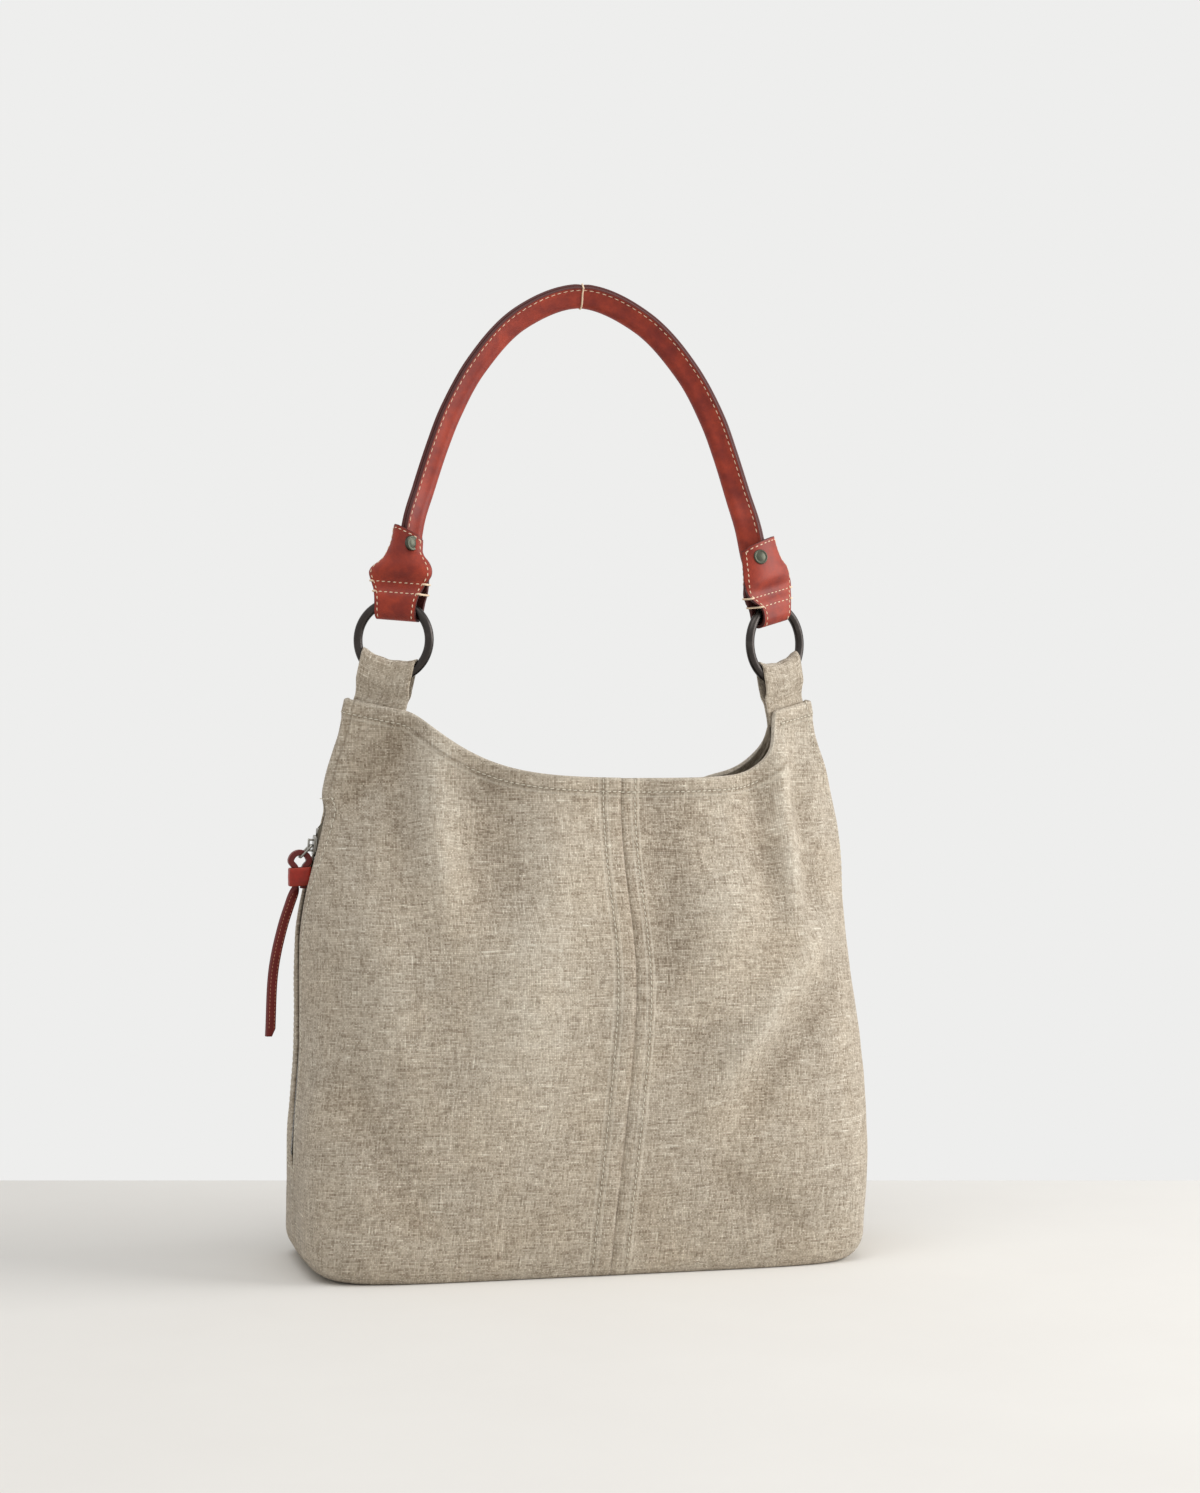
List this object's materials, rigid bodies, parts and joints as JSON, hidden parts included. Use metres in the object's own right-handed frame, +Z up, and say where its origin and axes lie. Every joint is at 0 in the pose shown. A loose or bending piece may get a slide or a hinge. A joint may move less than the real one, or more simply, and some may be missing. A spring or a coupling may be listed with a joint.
{
  "type": "shoulder bag with a leather handle",
  "caption": "Slouchy linen shoulder bag, open at the top, with a folded leather handle on metal rings and a zip in one side seam.",
  "frame": {"origin": "centre of the bag's flat base, on the floor it stands on", "axes": "+X to the right-hand side (the zip is at -X), +Y to the back, +Z up"},
  "size_m": [0.3552, 0.1495, 0.571],
  "materials": {
    "linen": "washed plain weave, matt",
    "linen_tab": "the same cloth folded to a strip, matt",
    "ring_metal": "dark gunmetal plating, satin",
    "rivet_metal": "dark antique plating, satin",
    "chape_leather": "red-brown leather, semi-matt, burnished edges",
    "handle_leather": "red-brown leather, semi-matt, raw dark edges",
    "strap_leather": "dark burgundy leather, semi-matt",
    "keeper_leather": "red-brown leather, semi-matt",
    "cord": "twisted cotton cord",
    "zip_tape": "woven tape, matt",
    "zip_metal": "nickel-plated, satin"
  },
  "bodies": {
    "bag": {"front_panel_left": "linen", "front_panel_right": "linen", "back_panel_left": "linen", "back_panel_right": "linen", "rim_facing_front": "linen", "rim_facing_back": "linen", "tab_left": "linen_tab", "tab_right": "linen_tab", "zip_tape_front": "zip_tape", "zip_tape_back": "zip_tape", "zip_stop_front": "zip_metal", "zip_stop_back": "zip_metal"},
    "ring_left": {"ring_left": "ring_metal"},
    "ring_right": {"ring_right": "ring_metal"},
    "handle": {"handle_cover": "handle_leather", "handle_core": "cord", "chape_left": "chape_leather", "chape_right": "chape_leather", "rivet_left": "rivet_metal", "rivet_right": "rivet_metal"},
    "slider": {"zip_slider": "zip_metal"},
    "pull": {"zip_bail": "zip_metal", "pull_strap": "strap_leather", "pull_keeper": "keeper_leather"}
  },
  "joints": [
    {"name": "ring_left_swing", "type": "hinge", "parent": "bag", "child": "ring_left", "pos_m": [-0.11809, -0.02022, 0.3398], "axis": [1, 0, 0], "range_deg": [-80, 80], "deforming": ["tab_left"]},
    {"name": "ring_right_swing", "type": "hinge", "parent": "bag", "child": "ring_right", "pos_m": [0.11809, -0.02022, 0.3398], "axis": [1, 0, 0], "range_deg": [-80, 80], "deforming": ["tab_right"]},
    {"name": "handle_swing", "type": "hinge", "parent": "ring_left", "child": "handle", "pos_m": [-0.10966, -0.02506, 0.38189], "axis": [1, 0, 0], "range_deg": [-6, 6]},
    {"name": "zip_slide", "type": "slide", "parent": "bag", "child": "slider", "axis": [-0.0792, 0.0004, -0.9969], "range_m": [0, 0.17], "deforming": ["zip_tape_front", "zip_tape_back"]},
    {"name": "pull_swing", "type": "hinge", "parent": "slider", "child": "pull", "pos_m": [-0.15808, -0.00007, 0.24329], "axis": [0, 1, 0], "range_deg": [0, 120]}
  ],
  "couplings": [
    {"joint": "ring_right_swing", "follows": "ring_left_swing", "ratio": 1}
  ]
}
